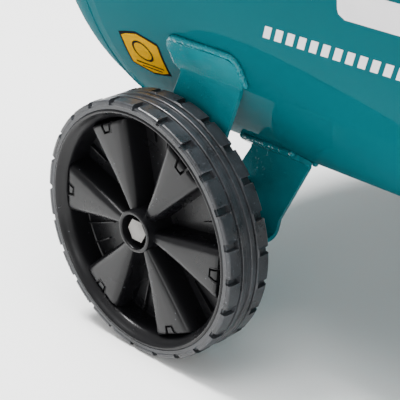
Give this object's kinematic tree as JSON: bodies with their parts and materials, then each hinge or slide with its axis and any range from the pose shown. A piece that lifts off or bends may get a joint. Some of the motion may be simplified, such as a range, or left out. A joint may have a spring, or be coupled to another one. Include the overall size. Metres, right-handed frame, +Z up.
{
  "type": "air compressor",
  "caption": "Wheeled air compressor: a belt-driven piston pump and an electric motor on a horizontal steel tank, with regulator, gauges, quick coupler, handle and rubber feet.",
  "frame": {"origin": "on the floor, under the middle of the whole machine", "axes": "+X along the tank towards the handle, +Y towards the belt guard, +Z up"},
  "size_m": [0.8774, 0.4762, 0.836],
  "materials": {
    "teal_paint": "gloss",
    "tyre_rubber": "moulded rubber",
    "rubber": "matte",
    "rim_plastic": "satin moulded",
    "black_paint": "satin powder coat",
    "black_plastic": "fine grain",
    "zinc": "zinc plated",
    "cast_iron": "as cast",
    "steel": "turned",
    "aluminium": "die cast",
    "brass": "machined",
    "copper": "drawn copper tube",
    "red_plastic": "gloss",
    "sight_glass": "clear"
  },
  "bodies": {
    "root": {"tank_shell": "teal_paint", "wheel_end_head": "teal_paint", "handle_end_head": "teal_paint", "tank_plug": "zinc", "front_wheel_bracket": "teal_paint", "rear_wheel_bracket": "teal_paint", "foot_bracket": "teal_paint", "rubber_feet": "rubber", "handle_tube": "teal_paint", "handle_grip": "rubber", "platform": "teal_paint", "drain_valve": "brass", "wheel_bolts": "zinc", "wheel_sleeves": "zinc", "wheel_nuts": "zinc", "motor_frame": "black_paint", "stator": "steel", "fan_cover": "black_paint", "terminal_box": "black_plastic", "drive_belt": "rubber", "guard_back": "black_paint", "guard_front": "black_paint", "hex_bolts": "zinc", "crankcase": "cast_iron", "sight_glass": "sight_glass", "oil_plug": "brass", "oil_filler": "rubber", "cylinder_block": "cast_iron", "valve_plate": "zinc", "cylinder_head": "aluminium", "intake_filters": "black_plastic", "crank_bearings": "steel", "pistons": "aluminium", "delivery_pipe": "copper", "check_valve": "brass", "unloader_tube": "copper", "pressure_switch": "black_plastic", "safety_valve": "brass", "regulator": "aluminium", "gauge_cases": "black_plastic", "quick_coupler": "zinc", "motor_lead": "rubber"},
    "front_wheel": {"front_tyre": "tyre_rubber", "front_rim": "rim_plastic"},
    "rear_wheel": {"rear_tyre": "tyre_rubber", "rear_rim": "rim_plastic"},
    "crank": {"flywheel": "cast_iron", "crankshaft": "steel"},
    "front_conrod": {"front_rod": "aluminium"},
    "rear_conrod": {"rear_rod": "aluminium"},
    "rotor": {"rotor_shaft": "steel", "cooling_fan": "black_plastic", "motor_pulley": "cast_iron"},
    "knob": {"switch_knob": "red_plastic"},
    "regulator_knob": {"regulator_knob": "black_plastic"},
    "drain": {"drain_lever": "red_plastic"},
    "relief": {"safety_ring": "zinc"},
    "sleeve": {"coupler_sleeve": "aluminium"},
    "tank_pointer": {"tank_needle": "red_plastic"},
    "line_pointer": {"line_needle": "red_plastic"}
  },
  "joints": [
    {"name": "front_wheel_spin", "type": "hinge", "parent": "root", "child": "front_wheel", "pos_m": [-0.22935, -0.218, 0.1], "axis": [0, 1, 0], "continuous": true},
    {"name": "rear_wheel_spin", "type": "hinge", "parent": "root", "child": "rear_wheel", "pos_m": [-0.22935, 0.218, 0.1], "axis": [0, 1, 0], "continuous": true},
    {"name": "crank_spin", "type": "hinge", "parent": "root", "child": "crank", "pos_m": [-0.15125, 0, 0.655], "axis": [0, 1, 0], "continuous": true},
    {"name": "rotor_spin", "type": "hinge", "parent": "root", "child": "rotor", "pos_m": [0.11375, 0, 0.645], "axis": [0, 1, 0], "continuous": true},
    {"name": "front_rod_pin", "type": "hinge", "parent": "crank", "child": "front_conrod", "pos_m": [-0.15125, -0.042, 0.673], "axis": [0, 1, 0], "continuous": true},
    {"name": "rear_rod_pin", "type": "hinge", "parent": "crank", "child": "rear_conrod", "pos_m": [-0.15125, 0.042, 0.673], "axis": [0, 1, 0], "continuous": true},
    {"name": "switch_pull", "type": "slide", "parent": "root", "child": "knob", "axis": [0, 0, 1], "range_m": [0, 0.006]},
    {"name": "regulator_turn", "type": "hinge", "parent": "root", "child": "regulator_knob", "pos_m": [-0.00825, -0.15, 0.54621], "axis": [0, 0, 1], "range_deg": [0, 720]},
    {"name": "drain_turn", "type": "hinge", "parent": "root", "child": "drain", "pos_m": [0.06875, 0.019, 0.0755], "axis": [0, 1, 0], "range_deg": [0, 90]},
    {"name": "relief_pull", "type": "slide", "parent": "root", "child": "relief", "axis": [-1, 0, 0], "range_m": [0, 0.004], "stiffness_N_per_m": 4000},
    {"name": "sleeve_slide", "type": "slide", "parent": "root", "child": "sleeve", "axis": [-1, 0, 0], "range_m": [0, 0.005], "stiffness_N_per_m": 1500},
    {"name": "tank_gauge", "type": "hinge", "parent": "root", "child": "tank_pointer", "pos_m": [-0.06625, -0.184, 0.52121], "axis": [0, 1, 0], "range_deg": [0, 270]},
    {"name": "line_gauge", "type": "hinge", "parent": "root", "child": "line_pointer", "pos_m": [-0.00825, -0.188, 0.52121], "axis": [0, 1, 0], "range_deg": [0, 270]}
  ],
  "couplings": [
    {"joint": "rotor_spin", "follows": "crank_spin", "ratio": 2.4925},
    {"joint": "front_rod_pin", "follows": "crank_spin", "ratio": -1},
    {"joint": "rear_rod_pin", "follows": "crank_spin", "ratio": -1}
  ]
}
